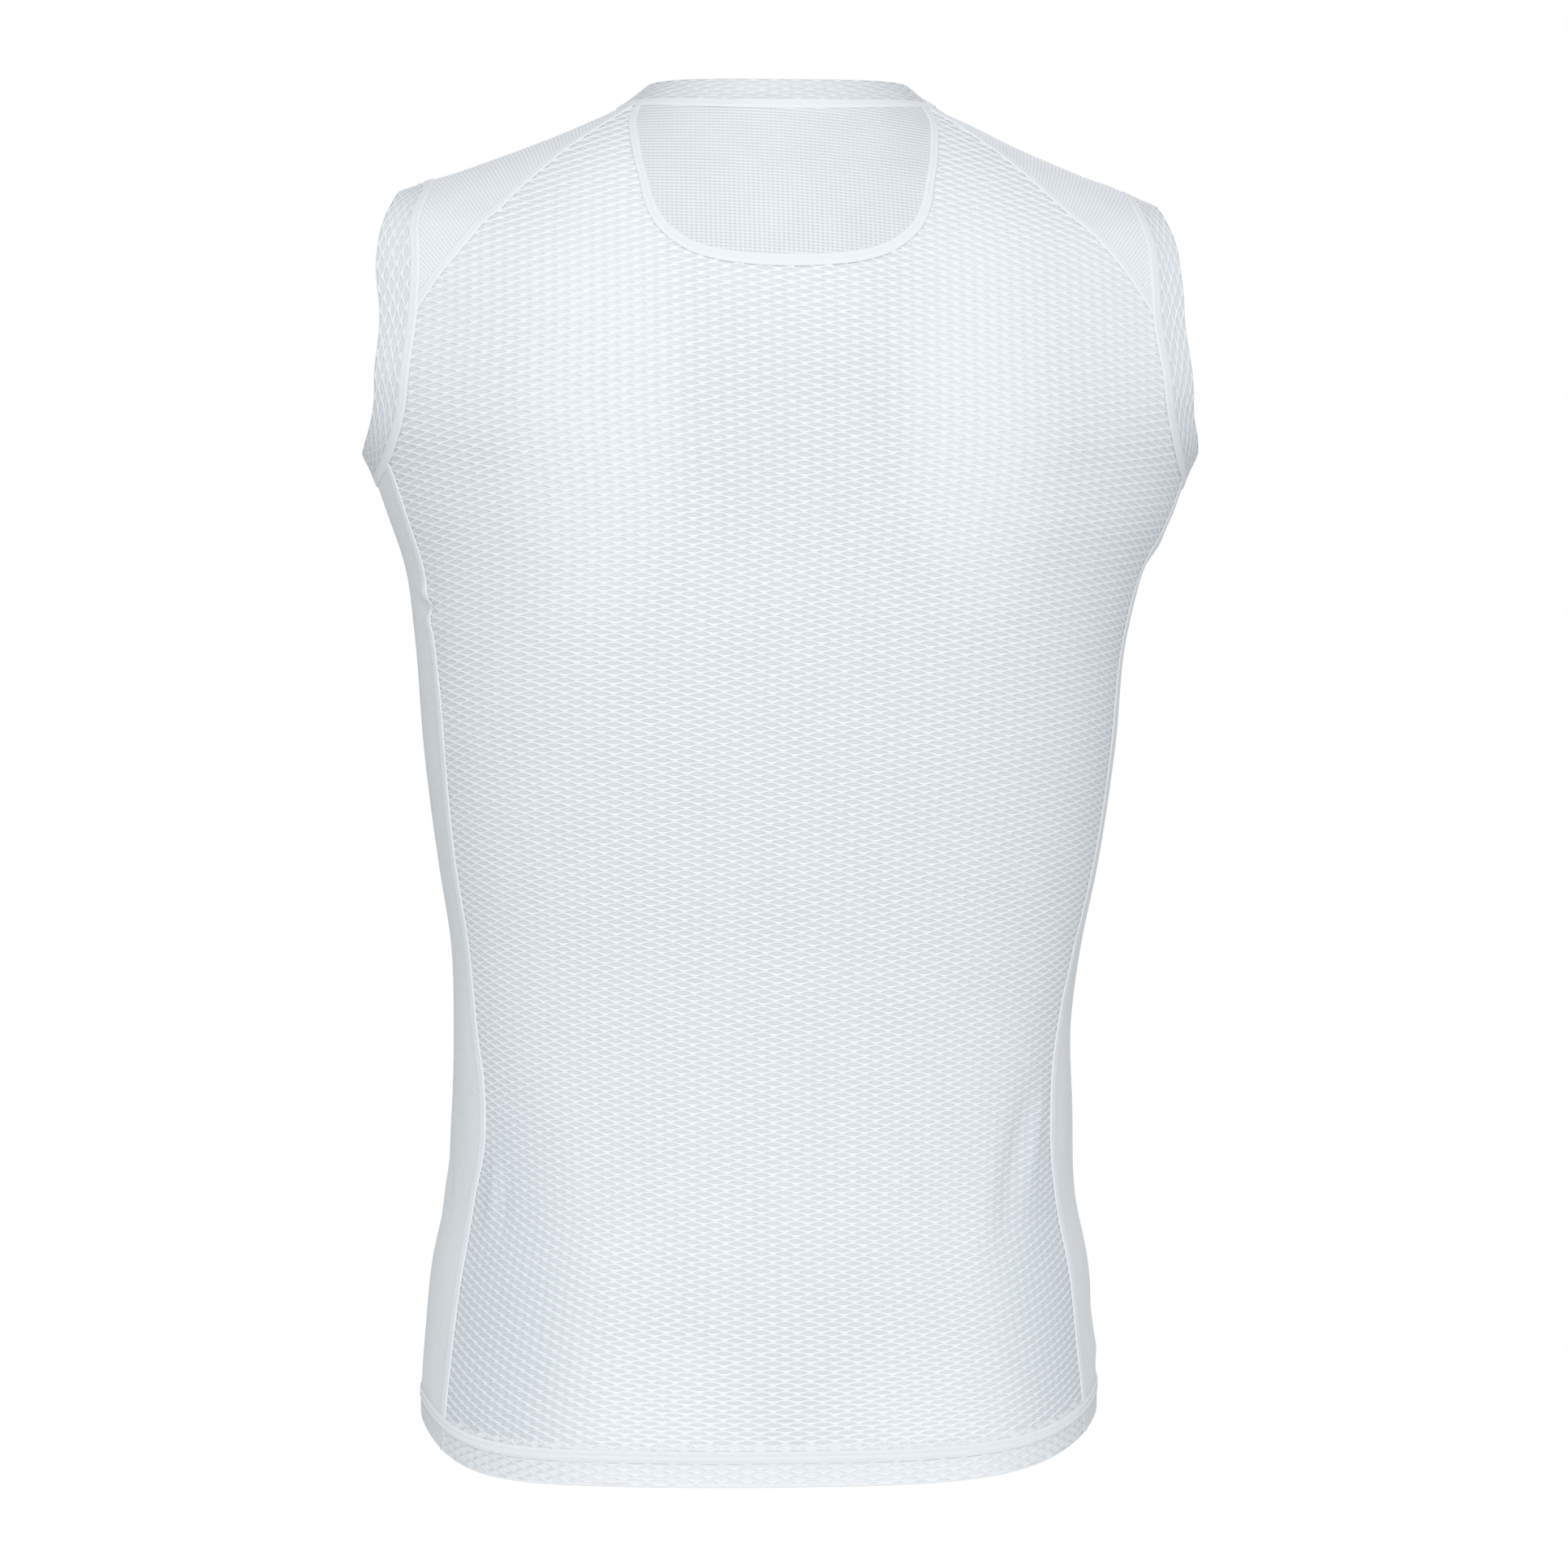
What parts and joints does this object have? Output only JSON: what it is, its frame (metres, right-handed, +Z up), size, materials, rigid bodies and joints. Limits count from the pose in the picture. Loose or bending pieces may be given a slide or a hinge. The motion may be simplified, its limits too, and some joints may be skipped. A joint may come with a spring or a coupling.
{
  "type": "cycling base layer vest",
  "caption": "Sleeveless close-fitting base layer vest in open eyelet mesh, filled out as if worn, with plain side panels, shoulder panels, a back yoke and folded neck and arm bands.",
  "frame": {"origin": "midway between the two shoulder straps, level with the middle of each strap's ridge, where the wearer's shoulders carry the vest", "axes": "+Z up, the garment's front faces -Y, the wearer's left side is +X"},
  "size_m": [0.4119, 0.2388, 0.6737],
  "materials": {
    "eyelet": "matt white knit with staggered pointed eyelets",
    "pore": "matt white knit with fine pores",
    "rib": "fine ribbed knit, pale grey because it is thin",
    "band": "matt white knit, folded double"
  },
  "bodies": {
    "root": {"back_panel": "eyelet", "front_panel": "eyelet", "side_panel_left": "rib", "side_panel_right": "rib", "back_yoke": "pore", "shoulder_panel_left": "pore", "shoulder_panel_right": "pore", "neck_band": "band", "arm_band_left": "band", "arm_band_right": "band"}
  },
  "joints": []
}
